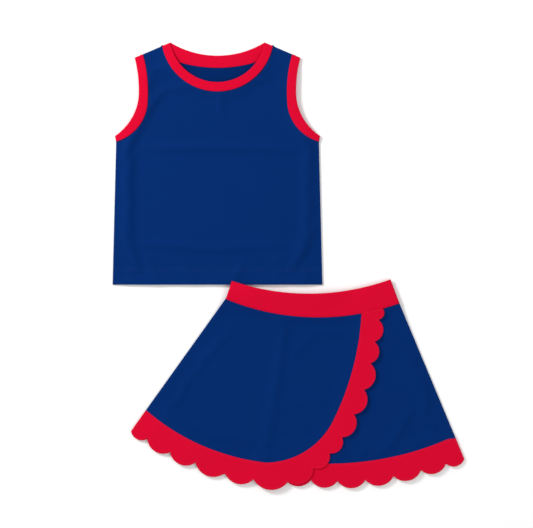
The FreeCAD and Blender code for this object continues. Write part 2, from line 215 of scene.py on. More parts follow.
def even(path, count):
    """A path drawn again with evenly spaced points."""
    steps = np.linalg.norm(np.diff(path, axis=0), axis=1)
    run = np.concatenate([[0], np.cumsum(steps)])
    at = np.linspace(0, run[-1], count)
    return np.stack([np.interp(at, run, path[:, axis]) for axis in range(path.shape[1])], 1)


def length(path):
    return float(np.linalg.norm(np.diff(path, axis=0), axis=1).sum())


def resampled(loop, spacing, sharp=28):
    """A loop with evenly spaced points, which keeps its sharp corners."""
    corners = [index for index, turn in enumerate(turns(loop)) if abs(turn) > sharp]
    if not corners:
        corners = [0]
    parts = []
    for first, last in zip(corners, corners[1:] + [corners[0] + len(loop)]):
        path = loop[np.arange(first, last + 1) % len(loop)]
        parts.append(even(path, max(2, round(length(path) / spacing) + 1))[:-1])
    return np.concatenate(parts)


def edge_normals(loop):
    """Unit vectors that point into an anticlockwise loop at each point."""
    ahead = np.roll(loop, -1, 0) - loop
    behind = loop - np.roll(loop, 1, 0)
    along = ahead / np.linalg.norm(ahead, axis=1)[:, None]
    along += behind / np.linalg.norm(behind, axis=1)[:, None]
    along /= np.linalg.norm(along, axis=1)[:, None] + 1e-9
    return np.stack([-along[:, 1], along[:, 0]], 1)


def rim_tree(loop, step=0.5 * MM):
    """A search tree of closely spaced points on a loop."""
    closed = np.concatenate([loop, loop[:1]])
    dense = even(closed, max(8, int(length(closed) / step)))
    tree = kdtree.KDTree(len(dense))
    for index, spot in enumerate(dense):
        tree.insert((spot[0], spot[1], 0), index)
    tree.balance()
    return tree


def from_rim(points, tree):
    return np.array([tree.find((x, y, 0))[2] for x, y in points])


def inside(points, loop):
    """Which plan points lie inside a loop."""
    x, y = points[:, 0], points[:, 1]
    found = np.zeros(len(points), bool)
    for (ax, ay), (bx, by) in zip(loop, np.roll(loop, -1, 0)):
        if ay == by:
            continue
        crosses = (ay > y) != (by > y)
        found ^= crosses & (x < (bx - ax) * (y - ay) / (by - ay) + ax)
    return found


def tucked(loop, trims, depth):
    """The loop pushed out by depth wherever it runs along a trim that lies over it."""
    trees = [rim_tree(trim) for trim in trims]
    middles = (loop + np.roll(loop, -1, 0)) / 2
    on_trim = np.zeros(len(loop), bool)
    for tree in trees:
        on_trim |= from_rim(middles, tree) < 0.6 * MM
    along = np.roll(loop, -1, 0) - loop
    out = np.stack([along[:, 1], -along[:, 0]], 1) / np.linalg.norm(along, axis=1)[:, None]
    out *= on_trim[:, None]
    push = out + np.roll(out, 1, 0)
    size = np.linalg.norm(push, axis=1)
    push[size > 0] /= size[size > 0][:, None]
    return loop + push * depth


# --- heights of the laid cloth -----------------------------------------------------------


def top_plan(points):
    return points - TOP_AT


def skirt_plan(points):
    return points - SKIRT_AT


def top_back_height(points):
    return np.full(len(points), 0.6 * MM)


def soft_folds(plan):
    """Faint upright folds in the lower half of the top."""
    height = np.zeros(len(plan))
    for across, width, lean, size in (
        (-88, 15, 0.05, 0.9), (-36, 22, -0.04, 0.7), (22, 18, 0.06, 0.8), (80, 16, -0.05, 0.9),
        (118, 11, -0.02, 0.5),
    ):
        off = plan[:, 0] - (across * MM + lean * plan[:, 1])
        height += size * MM * np.exp(-((off / (width * MM)) ** 2))
    return height * (1 - smooth(plan[:, 1], 60 * MM, 190 * MM))


def top_front_height(points):
    """The front of the top: it meets the back at the sides and shoulders."""
    plan = top_plan(points)
    half = np.stack([np.abs(plan[:, 0]), plan[:, 1]], 1)
    side = smooth(from_segment(half, *SIDE_TOP), 0, 26 * MM)
    shoulder = smooth(from_segment(half, *SHOULDER), 0, 34 * MM)
    hem = smooth(plan[:, 1], -10 * MM, 60 * MM)
    return 1.9 * MM + (1.9 + 1.5 * hem) * MM * side * shoulder + soft_folds(plan) * side


def below_waist(plan):
    """Distance below the waist seam, negative on the waistband."""
    return np.hypot(*(plan - np.array(WAIST_SEAM_CENTRE)).T) - WAIST_SEAM_RADIUS


def skirt_lift(points):
    """The skirt's waist corner lies on the hem of the top and slopes down from it."""
    plan = top_plan(points)
    right = np.maximum(plan[:, 0] - TOP_CORNER, 0)
    below = np.maximum(-plan[:, 1], 0)
    return 4.7 * MM * (1 - smooth(np.hypot(right, below), 1 * MM, 46 * MM))


def front_waist_height(points):
    """The middle of the front waistband, a little lower at the side seams."""
    ends = np.array([WAIST_LEFT_END, WAIST_RIGHT_END])
    plan = skirt_plan(points)
    near = np.minimum(*(np.abs(plan[:, 0] - end[0]) for end in ends))
    return (4.9 + 1.5 * smooth(near, 0, 34 * MM)) * MM + skirt_lift(points)


def gathered(free, points, below_band):
    """Cloth that rises to the waistband it is sewn into."""
    share = np.exp(-np.maximum(below_waist(skirt_plan(points)), 0) / (20 * MM))
    return free + (front_waist_height(points) - below_band * MM - free) * share


def skirt_sides(plan):
    near = np.minimum(from_segment(plan, *SKIRT_LEFT), from_segment(plan, *SKIRT_RIGHT))
    return smooth(near, 0, 30 * MM)


def back_skirt_height(points):
    waist = np.exp(-np.maximum(below_waist(skirt_plan(points)), 0) / (12 * MM))
    return (0.6 + 1.3 * waist) * MM + skirt_lift(points)


def skirt_folds(plan):
    """Very soft flares that fan out from the waist to the hem."""
    from_centre = plan - np.array(WAIST_SEAM_CENTRE)
    angle = np.degrees(np.arctan2(from_centre[:, 0], -from_centre[:, 1]))
    height = np.zeros(len(plan))
    for middle, width, size in ((-19, 2.6, 0.7), (-8, 3.4, 0.8), (4, 2.8, 0.5), (13, 2.4, 0.6)):
        height += size * MM * np.exp(-(((angle - middle) / width) ** 2))
    return height * smooth(below_waist(plan), 30 * MM, 200 * MM)


def underlap_height(points):
    """The lower layer of the skirt's front."""
    plan = skirt_plan(points)
    sides = skirt_sides(plan)
    free = (1.9 + 1.5 * sides) * MM + skirt_folds(plan) * sides + skirt_lift(points)
    beyond = smooth(plan[:, 0], 94 * MM, 108 * MM)
    return gathered(free, points, 1.5 - 1.2 * beyond)


def overlap_height(points):
    """The upper layer of the skirt's front, which rides over the edge of the lower one."""
    plan = skirt_plan(points)
    edge = -40 * MM + (plan[:, 1] + 30 * MM) * 0.15
    cover = smooth(plan[:, 0] - edge, -26 * MM, 6 * MM)
    sides = skirt_sides(plan)
    free = (2.2 + 1.5 * sides + 1.7 * cover) * MM + skirt_folds(plan) * sides + skirt_lift(points)
    return np.maximum(gathered(free, points, 0.3), underlap_height(points) + 1.1 * MM * cover)


def raised(height, by):
    return lambda points: height(points) + by * MM


# --- meshes ------------------------------------------------------------------------------


def new_object(name, points, faces, uvs, body, slot, material):
    """A smooth mesh object with UVs in metres, riding on a body."""
    mesh = bpy.data.meshes.new(name)
    mesh.from_pydata([tuple(point) for point in points], [], faces)
    mesh.update()
    mesh.shade_smooth()
    layer = mesh.uv_layers.new(name="cloth")
    corner_uvs = np.asarray(uvs)[[loop.vertex_index for loop in mesh.loops]]
    layer.data.foreach_set("uv", corner_uvs.astype(np.float32).ravel())
    mesh.materials.append(material)
    obj = bpy.data.objects.new(name, mesh)
    bpy.context.scene.collection.objects.link(obj)
    attach(obj, body)
    return obj


def attach(obj, body):
    """Ride on a body, or, for a piece of the wrap, stay baked where it lies."""
    if body == "wrap":
        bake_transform(obj)
    else:
        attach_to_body(obj, body)


def filled(loop, spacing, rows):
    """Triangles that fill a loop: its rim, a few rows close inside it, then an even grid.
    Returns the plan points, rim first, and the faces."""
    tree = rim_tree(loop)
    normals = edge_normals(loop)
    groups = [loop]
    for row in rows:
        ring = loop + normals * row
        keep = (from_rim(ring, tree) > 0.93 * row) & inside(ring, loop)
        groups.append(ring[keep])
    low, high = loop.min(0), loop.max(0)
    rise = spacing * math.sqrt(3) / 2
    ys = np.arange(low[1] + rise / 2, high[1], rise)
    grid = []
    for index, y in enumerate(ys):
        xs = np.arange(low[0] + (index % 2) * spacing / 2, high[0], spacing)
        grid.append(np.stack([xs, np.full(len(xs), y)], 1))
    grid = np.concatenate(grid)
    grid = grid[inside(grid, loop)]
    clear = (rows[-1] if rows else 0) + 0.6 * spacing
    groups.append(grid[from_rim(grid, tree) > clear])
    points = np.concatenate(groups)
    count = len(loop)
    ring_edges = [(index, (index + 1) % count) for index in range(count)]
    found = delaunay_2d_cdt([Vector(point) for point in points], ring_edges, [list(range(count))],
                            1, 1e-7)
    plan = np.array([tuple(point) for point in found[0]])
    return plan, [tuple(face) for face in found[2]]


ROUND_ROWS = (0.25 * MM, 0.7 * MM, 1.5 * MM)


def thickened(plan, height, faces, rim_distance, thickness):
    """A closed sheet with a rounded rim, from the plan and the height of its middle."""
    share = np.clip(rim_distance / (thickness * 0.9), 0, 1)
    half = thickness / 2 * np.sqrt(np.clip(1 - (1 - share) ** 2, 0, 1))
    rim = rim_distance < 1e-6
    points = np.column_stack([plan, height + half])
    under = np.cumsum(~rim) - 1 + len(plan)
    under[rim] = np.nonzero(rim)[0]
    low = np.column_stack([plan, height - half])[~rim]
    closed = list(faces)
    closed += [tuple(int(under[index]) for index in face[::-1]) for face in faces]
    return np.concatenate([points, low]), closed, np.concatenate([plan, plan[~rim]])


SIM_SCALE = 10


def plain_mesh(name, plan, height, faces, scale):
    """A bare mesh object from plan points and heights, enlarged by a scale."""
    mesh = bpy.data.meshes.new(name)
    points = np.column_stack([plan, height]) * scale
    mesh.from_pydata([tuple(point) for point in points], [], faces)
    obj = bpy.data.objects.new(name, mesh)
    bpy.context.scene.collection.objects.link(obj)
    return obj


def settled(plan, height, faces, held, growth, frames, beneath):
    """Cloth simulation of the sheet's middle: held points stay, the rest sinks onto the
    layer beneath, and a little spare cloth buckles softly. It runs enlarged, because the
    smallest contact distance is a millimetre. Returns the new heights."""
    obj = plain_mesh("settling", plan, height, faces, SIM_SCALE)
    support = plain_mesh("support", plan, beneath, faces, SIM_SCALE)
    support.modifiers.new("contact", "COLLISION")
    support.collision.thickness_outer = 1 * MM
    support.collision.cloth_friction = 20
    group = obj.vertex_groups.new(name="held")
    for index in np.nonzero(held > 0.01)[0]:
        group.add([int(index)], float(held[index]), "REPLACE")
    modifier = obj.modifiers.new("settle", "CLOTH")
    cloth = modifier.settings
    cloth.quality = 8
    cloth.mass = 0.3
    cloth.tension_stiffness = 25
    cloth.compression_stiffness = 25
    cloth.shear_stiffness = 10
    cloth.bending_stiffness = 12
    cloth.air_damping = 3
    cloth.vertex_group_mass = "held"
    cloth.pin_stiffness = 1
    cloth.shrink_min = -growth
    modifier.collision_settings.distance_min = 1 * MM
    modifier.collision_settings.use_self_collision = False
    scene = bpy.context.scene
    for step in range(1, frames + 1):
        scene.frame_set(step)
    shaped = obj.evaluated_get(bpy.context.evaluated_depsgraph_get())
    heights = np.array([vertex.co.z for vertex in shaped.data.vertices]) / SIM_SCALE
    bpy.data.objects.remove(obj)
    bpy.data.objects.remove(support)
    scene.frame_set(1)
    return np.maximum(heights, beneath)


LAID = {}


def laid_on(name):
    """The height of the middle of a sheet that is already laid, as a function of plan."""
    tree, level = LAID[name]

    def height(points):
        found = []
        for x, y in points:
            near = tree.find_n((x, y, 0), 4)
            weights = [1 / (distance + 0.2 * MM) for spot, index, distance in near]
            total = sum(level[hit[1]] * weight for hit, weight in zip(near, weights))
            found.append(total / sum(weights))
        return np.array(found)

    return height


def cloth(name, loop, height, material, slot, body, spacing=5 * MM, thickness=0.8 * MM,
          settle=None, held="laid", rests_on=(), size=None, rim_step=2.5 * MM):
    """One flat piece of cloth, filled from its outline and laid at a height."""
    loop = resampled(loop, rim_step)
    plan, faces = filled(loop, spacing, ROUND_ROWS)
    rim_distance = from_rim(plan, rim_tree(loop))
    rim_distance[:len(loop)] = 0
    level = height(plan)
    if settle:
        growth, frames, hold, support = settle
        pins = 1 - smooth(hold(plan, rim_distance), 2 * MM, 14 * MM)
        level = settled(plan, level, faces, pins, growth, frames, support(plan))
    tree = kdtree.KDTree(len(plan))
    for index, (x, y) in enumerate(plan):
        tree.insert((x, y, 0), index)
    tree.balance()
    LAID[name] = (tree, level)
    points, closed, uvs = thickened(plan, level, faces, rim_distance, thickness)
    obj = new_object(name, points, closed, uvs, body, slot, material)
    extent = np.ptp(loop, axis=0)
    area = plan_area(loop)
    if size:
        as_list(rests_on)
    else:
        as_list(rests_on)
    return obj


def strip_sides(loop, seam_near):
    """The two long sides of a strip's outline, running the same way, the seam side first."""
    order = np.argsort(-np.abs(turns(loop)))[:4]
    corners = sorted(int(index) for index in order)
    sides = []
    for first, last in zip(corners, corners[1:] + [corners[0] + len(loop)]):
        sides.append(loop[np.arange(first, last + 1) % len(loop)])
    even_pair, odd_pair = sides[0::2], sides[1::2]
    pair = even_pair if sum(map(length, even_pair)) > sum(map(length, odd_pair)) else odd_pair
    near = [np.linalg.norm(even(side, 3)[1] - seam_near) for side in pair]
    seam, free = pair if near[0] < near[1] else pair[::-1]
    return seam, free[::-1]


NARROWEST = 10 * MM
BAND_STEP = 2.2 * MM
TUBE_POINTS = 22


def even_sides(loop, seam_near, step):
    """The seam side and the free side of a strip with matching points, and its length."""
    seam, free = strip_sides(loop, np.asarray(seam_near))
    run = (length(seam) + length(free)) / 2
    count = int(run / step) + 1
    return even(seam, count), even(free, count), run


def band(name, loop, seam_near, height, thickness, material, slot, body, over=1.4 * MM,
         step=BAND_STEP, ripple=None, inset=0.0, roundness=0.45):
    """A folded band: a flat tube between the two long sides of its outline. It reaches
    over the panel that it is sewn to, and its ends are pressed thin."""
    seam, free, run = even_sides(loop, seam_near, step)
    count = len(seam)
    width = float(np.linalg.norm(seam - free, axis=1).mean())
    along = np.linspace(0, run, count)
    points, uvs = [], []
    for index in range(count):
        end = min(along[index], run - along[index])
        pressed = 0.35 + 0.65 * float(smooth(end, 0, 2.5 * MM))
        for turn in range(TUBE_POINTS):
            angle = 2 * math.pi * turn / TUBE_POINTS
            c, s = math.cos(angle), math.sin(angle)
            share = 0.5 - 0.5 * math.copysign(abs(c) ** 0.62, c)
            low = -over / width
            high = 1 - inset / width
            share = low + (high - low) * share
            spot = seam[index] * (1 - share) + free[index] * share
            level = height(spot[None])[0]
            if ripple:
                level += ripple(along[index], share)
            swell = math.copysign(abs(s) ** roundness, s) * thickness / 2 * pressed
            points.append((spot[0], spot[1], level + swell))
            uvs.append((along[index], share * width * (1 if s >= 0 else -1)))
    faces = []
    for index in range(count - 1):
        for turn in range(TUBE_POINTS):
            first = index * TUBE_POINTS + turn
            following = index * TUBE_POINTS + (turn + 1) % TUBE_POINTS
            faces.append((first, following, following + TUBE_POINTS, first + TUBE_POINTS))
    faces.append(tuple(range(TUBE_POINTS))[::-1])
    faces.append(tuple((count - 1) * TUBE_POINTS + turn for turn in range(TUBE_POINTS)))
    faces = [face[::-1] for face in faces]
    obj = new_object(name, points, faces, uvs, body, slot, material)
    return obj


# --- materials ---------------------------------------------------------------------------


class Nodes:
    """Short ways to add and join shader nodes of one material."""

    def __init__(self, name):
        self.material = bpy.data.materials.new(name)
        self.material.use_nodes = True
        self.tree = self.material.node_tree
        self.shader = self.tree.nodes["Principled BSDF"]
        self.uv = self.add("ShaderNodeTexCoord").outputs["UV"]

    def add(self, kind, links=None, **settings):
        node = self.tree.nodes.new(kind)
        for key, value in settings.items():
            setattr(node, key, value)
        for socket, source in (links or {}).items():
            self.tree.links.new(source, node.inputs[socket])
        return node

    def join(self, source, target):
        self.tree.links.new(source, target)

    def noise(self, scale, detail=2.0):
        """Soft mottling, with a scale in spots per metre."""
        node = self.add("ShaderNodeTexNoise", {"Vector": self.uv})
        node.inputs["Scale"].default_value = scale
        node.inputs["Detail"].default_value = detail
        return node.outputs["Fac"]

    def wave(self, direction, pitch, distortion=0.0):
        """Even ridges across U or V, at a pitch in metres."""
        node = self.add("ShaderNodeTexWave", {"Vector": self.uv}, bands_direction=direction)
        node.inputs["Scale"].default_value = 2 * math.pi / 20 / pitch
        node.inputs["Distortion"].default_value = distortion
        node.inputs["Detail"].default_value = 1.0
        return node.outputs["Fac"]

    def math(self, operation, first, second):
        node = self.add("ShaderNodeMath", operation=operation)
        for index, value in enumerate((first, second)):
            if isinstance(value, (int, float)):
                node.inputs[index].default_value = value
            else:
                self.join(value, node.inputs[index])
        return node.outputs[0]

    def spread(self, source, low, high):
        """Brings a 0 to 1 value into the range low to high."""
        node = self.add("ShaderNodeMapRange", {"Value": source})
        node.inputs["To Min"].default_value = low
        node.inputs["To Max"].default_value = high
        return node.outputs["Result"]

    def tint(self, colour, factor):
        """The colour made darker or lighter by a factor that varies over the cloth."""
        node = self.add("ShaderNodeVectorMath", operation="SCALE")
        node.inputs[0].default_value = colour
        self.join(factor, node.inputs["Scale"])
        self.join(node.outputs["Vector"], self.shader.inputs["Base Color"])

    def matte(self, colour):
        """A weak reflection in the colour of the dye."""
        strongest = max(colour)
        dye = (*(part / strongest for part in colour), 1)
        self.shader.inputs["Specular IOR Level"].default_value = 0.15
        self.shader.inputs["Specular Tint"].default_value = dye
        self.shader.inputs["Sheen Tint"].default_value = dye

    def bump(self, height, distance):
        node = self.add("ShaderNodeBump", {"Height": height})
        node.inputs["Distance"].default_value = distance
        node.inputs["Strength"].default_value = 1.0
        self.join(node.outputs["Normal"], self.shader.inputs["Normal"])


CLOTH_ROUGHNESS = (0.78, 0.9)
CLOTH_SHEEN = 0.03
FUZZ = 0.04


def knit(name, colour, wale=0.85 * MM, course=0.7 * MM):
    """Weft-knit cloth: upright wales crossed by finer courses, soft fibre mottling."""
    nodes = Nodes(name)
    ridges = nodes.math("MULTIPLY", nodes.wave("X", wale, 0.4), nodes.wave("Y", course, 0.6))
    fibre = nodes.noise(900, 3)
    height = nodes.math("ADD", nodes.math("MULTIPLY", ridges, 0.7),
                        nodes.math("MULTIPLY", fibre, 0.5))
    nodes.bump(height, 0.06 * MM)
    mottling = nodes.math("ADD", nodes.spread(nodes.noise(22, 2), -0.03, 0.03),
                          nodes.spread(nodes.noise(700, 2), 1 - FUZZ, 1 + FUZZ))
    # The colour follows the ridges: painted shade in the grooves between the loops and a faint
    # painted highlight on their crests, times the mottling, which is the yarn's own uneven tone.
    tone_and_shade = nodes.math("MULTIPLY", mottling, nodes.spread(ridges, 0.94, 1.05))
    nodes.tint(colour, tone_and_shade)
    nodes.join(nodes.spread(fibre, *CLOTH_ROUGHNESS), nodes.shader.inputs["Roughness"])
    nodes.matte(colour)
    nodes.shader.inputs["Sheen Weight"].default_value = CLOTH_SHEEN
    nodes.shader.inputs["Sheen Roughness"].default_value = 0.5
    return nodes.material


def rib(name, colour, pitch=1.5 * MM):
    """Rib knit with ridges straight across the band."""
    nodes = Nodes(name)
    ridges = nodes.wave("X", pitch, 0.3)
    fibre = nodes.noise(1000, 3)
    height = nodes.math("ADD", ridges, nodes.math("MULTIPLY", fibre, 0.25))
    nodes.bump(height, 0.16 * MM)
    # Painted shade in the grooves of the rib and a faint painted highlight on its ridges, times the
    # yarn's own uneven tone.
    tone_and_shade = nodes.math("MULTIPLY", nodes.spread(ridges, 0.95, 1.04),
                         nodes.spread(nodes.noise(600, 2), 0.96, 1.04))
    nodes.tint(colour, tone_and_shade)
    nodes.join(nodes.spread(fibre, *CLOTH_ROUGHNESS), nodes.shader.inputs["Roughness"])
    nodes.matte(colour)
    nodes.shader.inputs["Sheen Weight"].default_value = CLOTH_SHEEN
    return nodes.material


def thread(name, colour):
    """Sewing thread: fine twist across a smooth, slightly shiny strand."""
    nodes = Nodes(name)
    twist = nodes.wave("DIAGONAL", 0.35 * MM)
    nodes.bump(twist, 0.03 * MM)
    # Painted shade in the grooves of the twist and a painted highlight on its crests.
    nodes.tint(colour, nodes.spread(twist, 0.9, 1.08))
    nodes.join(nodes.spread(nodes.noise(800), 0.45, 0.6), nodes.shader.inputs["Roughness"])
    nodes.shader.inputs["Specular IOR Level"].default_value = 0.3
    return nodes.material


# Each colour comes with a darker copy, dimmed by about a fifth: painted shade for cloth seen inside
# the neck and lying under other layers.
NAVY = (0.0017, 0.0221, 0.127)
NAVY_SHADED = (0.0014, 0.0180, 0.104)
RED = (0.622, 0.0031, 0.0278)
RED_SHADED = (0.54, 0.0027, 0.024)
navy_jersey = knit("navy_jersey", NAVY)
# The inside materials have the coarser knit of the cloth's inside face, which is real, in the darker
# copy of the colour, which is painted shade.
navy_inside_shaded = knit("navy_inside_shaded", NAVY_SHADED, wale=1.1 * MM, course=0.9 * MM)
red_jersey = knit("red_jersey", RED)
red_inside_shaded = knit("red_inside_shaded", RED_SHADED, wale=1.1 * MM, course=0.9 * MM)
red_rib = rib("red_rib", RED)
navy_thread = thread("navy_thread", (0.0030, 0.031, 0.165))
red_thread = thread("red_thread", (0.68, 0.006, 0.036))
white_elastic = rib("white_elastic", (0.78, 0.78, 0.76), pitch=1.0 * MM)
white_felt = knit("white_interfacing", (0.8, 0.8, 0.78), wale=2.3 * MM, course=2.1 * MM)

# --- stitching ---------------------------------------------------------------------------

STITCH_PITCH = 3.0 * MM
THREAD = 0.22 * MM
STITCH_RINGS = ((0, 0.35, -1.2), (0.2, 1, 0), (0.5, 1.1, 0.35), (0.8, 1, 0), (1, 0.35, -1.2))
RING_POINTS = 6


def stitches(name, lines, material, slot, body):
    """Rows of thread: each stitch a small rounded dash that lies on the cloth. A line is
    its plan path and the height of the cloth's upper face. Each ring of a stitch is its
    share along the stitch, its swell, and its rise in thread sizes."""
    points, faces, uvs = [], [], []
    for path, height in lines:
        run = length(path)
        count = max(2, int(run / STITCH_PITCH))
        dense = even(path, count * 2 + 1)
        level = height(dense)
        for index in range(0, count * 2 - 1, 2):
            start = np.array([*dense[index], level[index]])
            end = np.array([*dense[index + 1], level[index + 1]])
            end = start + (end - start) * 1.45
            ahead = (end - start) / (np.linalg.norm(end - start) + 1e-12)
            side = np.array([-ahead[1], ahead[0], 0.0])
            base = len(points)
            for share, swell, rise in STITCH_RINGS:
                middle = start + (end - start) * share + np.array([0, 0, rise * THREAD])
                for turn in range(RING_POINTS):
                    angle = 2 * math.pi / RING_POINTS * turn
                    offset = side * math.cos(angle) + np.array([0, 0, math.sin(angle)])
                    points.append(middle + offset * THREAD * swell)
                    uvs.append((share * STITCH_PITCH, turn * THREAD))
            last_ring = base + RING_POINTS * (len(STITCH_RINGS) - 1)
            for ring in range(base, last_ring, RING_POINTS):
                for turn in range(RING_POINTS):
                    first = ring + turn
                    following = ring + (turn + 1) % RING_POINTS
                    faces.append((first, first + RING_POINTS, following + RING_POINTS, following))
            faces.append(tuple(base + turn for turn in range(RING_POINTS)))
            faces.append(tuple(last_ring + turn for turn in range(RING_POINTS))[::-1])
    faces = [face[::-1] for face in faces]
    return new_object(name, points, faces, uvs, body, slot, material)


def inner_paths(loop, inset):
    """Plan paths that run a little way inside a loop. Kinks at the cusps are left out."""
    loop = resampled(loop, 1.5 * MM)
    tree = rim_tree(loop)
    path = loop + edge_normals(loop) * inset
    keep = from_rim(path, tree) > 0.97 * inset
    paths, current = [], []
    start = int(np.argmin(keep)) if not keep.all() else 0
    for step in range(len(loop) + 1):
        index = (start + step) % len(loop)
        if keep[index] and step < len(loop):
            current.append(path[index])
        else:
            if len(current) > 3:
                paths.append(np.array(current))
            current = []
    if keep.all():
        paths = [np.concatenate([path, path[:1]])]
    return paths


# --- the top -----------------------------------------------------------------------------

TOP_MIDDLE = TOP_AT + np.array([0, 200 * MM])
front_loop = outlines(["top_front_panel"])[0]
back_loop = outlines(["top_back_panel"], upward=False)[0]
neck_front = outlines(["neckband"])[0]
neck_back = outlines(["neckband"], upward=False)[0]
arm_loops = {side: outlines([f"{side}_armhole_band"])[0] for side in ("left", "right")}
tape_loop = outlines(["back_neck_tape"])[0]
TUCK = 3.0 * MM
# From the middle of one sheet to the middle of the sheet that rests on it, in mm.
CONTACT = 0.9


def free_hem(plan, rim_distance):
    """Distance from the rim that leaves the hem of the top free to buckle a little."""
    near_hem = top_plan(plan)[:, 1] < 30 * MM
    return np.where(near_hem, np.maximum(rim_distance, 5 * MM), rim_distance)


def from_edge(plan, rim_distance):
    return rim_distance


front_cloth = tucked(resampled(front_loop, 2 * MM), [neck_front, *arm_loops.values()], TUCK)
back_cloth = tucked(resampled(back_loop, 2 * MM), [neck_back, *arm_loops.values()], TUCK)
# Each settle is the spare growth, the frames, which points are held, and what is beneath.
top_front = cloth("top_front_cloth", front_cloth, top_front_height, navy_jersey, "navy_jersey",
                  "top", settle=(0.008, 30, free_hem, raised(top_back_height, CONTACT)),
                  rests_on=["top_back_cloth"])
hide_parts("top_front_panel")
top_back = cloth("top_back_cloth", back_cloth, top_back_height, navy_inside_shaded, "navy_jersey",
                 "top", spacing=8 * MM)
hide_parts("top_back_panel")


def back_band_height(points):
    return np.full(len(points), 1.15 * MM)


BAND = 1.9 * MM
BAND_RISE = 0.9
neck_front_band = band(
    "neckband_front_fold", neck_front, TOP_MIDDLE, raised(top_front_height, BAND_RISE), BAND, red_rib,
    "red_rib", "top")
neck_back_band = band(
    "neckband_back_fold", neck_back, TOP_MIDDLE, back_band_height, BAND, red_rib, "red_rib", "top")
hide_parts("neckband")
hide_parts("neckband")
tape = band(
    "back_neck_tape_cloth", tape_loop, TOP_MIDDLE, raised(back_band_height, 0.15), 1.3 * MM,
    red_rib, "red_rib", "top", over=0.0, inset=-2.0 * MM)
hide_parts("back_neck_tape")
for side, loop in arm_loops.items():
    front_band = band(
        f"{side}_armhole_front_fold", loop, TOP_MIDDLE, raised(top_front_height, BAND_RISE), BAND,
        red_rib, "red_rib", "top")
    back_band = band(
        f"{side}_armhole_back_fold", loop, TOP_MIDDLE, back_band_height, BAND, red_rib,
        "red_rib", "top")
    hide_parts(f"{side}_armhole_band")
    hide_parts(f"{side}_armhole_band")


ALLOWANCE = 1.5 * MM


def between_layers(points):
    return (top_front_height(points) + 0.6 * MM) / 2


for side in ("left", "right"):
    for node in (f"{side}_side_seam", f"{side}_shoulder_tape"):
        loop = outlines([node])[0]
        piece = band(f"{node}_cloth", loop, TOP_MIDDLE, between_layers, ALLOWANCE, navy_inside_shaded,
                     "navy_seam", "top", over=0.0, inset=0.25 * MM)
        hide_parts(node)

# From the middle of a sheet up to its stitches, in mm.
SURFACE = 0.42
ROW_POINTS = 60
BESIDE_BAND = 3.0 * MM


def hem_row(up):
    """A straight path across the top at a height above its hem."""
    half = SIDE_TOP[0][0] - 4 * MM
    xs = np.linspace(-half, half, ROW_POINTS)
    return np.column_stack([xs, np.full(ROW_POINTS, up)]) + TOP_AT


def beside(loop):
    """A path on the panel beside a band, a little way past the band's seam edge."""
    seam, free, _ = even_sides(loop, TOP_MIDDLE, BAND_STEP)
    out = seam - free
    out /= np.linalg.norm(out, axis=1)[:, None]
    return (seam + out * BESIDE_BAND)[3:-3]


on_front = raised(laid_on("top_front_cloth"), SURFACE)
navy_paths = [hem_row(20 * MM), hem_row(23.5 * MM)]
navy_paths += [beside(loop) for loop in (neck_front, *arm_loops.values())]
navy_rows = [(path, on_front) for path in navy_paths]
stitches("top_stitching", navy_rows, navy_thread, "navy_seam", "top")

# --- the skirt ---------------------------------------------------------------------------

SKIRT_MIDDLE = SKIRT_AT + np.array([0, -110 * MM])
overlap_loop = outlines(["overlap_panel_sewn", "overlap_panel_flap"])[0]
overlap_trim = outlines(["overlap_border_sewn", "overlap_border_flap"])[0]
underlap_loop = outlines(["underlap_panel"])[0]
underlap_trim = outlines(["underlap_border"])[0]
back_skirt_loop = outlines(["skirt_back_panel"], upward=False)[0]
back_trim = outlines(["back_border"], upward=False)[0]
waist_loop = outlines(["front_waistband"])[0]
back_waist_loop = outlines(["back_waistband"], upward=False)[0]

BORDER_WIDTH = 31 * MM
BORDER_RISE = 0.75
BORDER_BULK = 1.3
BORDER_REACH = 4 * MM


def wide_trim(loop, width=BORDER_WIDTH):
    return (plan_area(loop) / width, width)


back_skirt_cut = tucked(resampled(back_skirt_loop, 2 * MM), [back_trim, back_waist_loop], TUCK)
underlap_cut = tucked(resampled(underlap_loop, 2 * MM), [underlap_trim, waist_loop], TUCK)
overlap_cut = tucked(resampled(overlap_loop, 2 * MM), [overlap_trim, waist_loop], TUCK)

back_skirt = cloth("skirt_back_cloth", back_skirt_cut, back_skirt_height, navy_inside_shaded,
                   "navy_jersey", "skirt", spacing=8 * MM)
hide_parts("skirt_back_panel")
back_border = cloth("back_border_cloth", back_trim, raised(back_skirt_height, BORDER_RISE),
                    red_jersey, "red_jersey", "skirt", spacing=6 * MM,
                    size=wide_trim(back_trim))
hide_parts("back_border")
back_facing = cloth("back_facing_cloth", back_trim, raised(back_skirt_height, 1.35), red_inside_shaded,
                    "red_facing", "skirt", spacing=8 * MM, thickness=0.5 * MM,
                    size=wide_trim(back_trim))
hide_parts("back_facing")


def above_back(points):
    """Where a sheet rests on the skirt's back, which is thicker at its border."""
    border = inside(points, back_trim) | (from_rim(points, rim_tree(back_trim)) < BORDER_REACH)
    return back_skirt_height(points) + (CONTACT + BORDER_BULK * border) * MM


underlap = cloth("underlap_cloth", underlap_cut, underlap_height, navy_jersey, "navy_jersey",
                 "skirt", settle=(0.006, 26, from_edge, above_back),
                 rests_on=["skirt_back_cloth"])
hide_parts("underlap_panel")
underlap_border = cloth("underlap_border_cloth", underlap_trim,
                        raised(underlap_height, BORDER_RISE), red_jersey, "red_jersey", "skirt",
                        spacing=4 * MM, rim_step=1.5 * MM, size=wide_trim(underlap_trim))
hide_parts("underlap_border")
underlap_facing = cloth("underlap_facing_cloth", underlap_trim, raised(underlap_height, -0.7),
                        red_inside_shaded, "red_facing", "skirt", spacing=8 * MM, thickness=0.5 * MM,
                        size=wide_trim(underlap_trim))
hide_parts("underlap_facing")


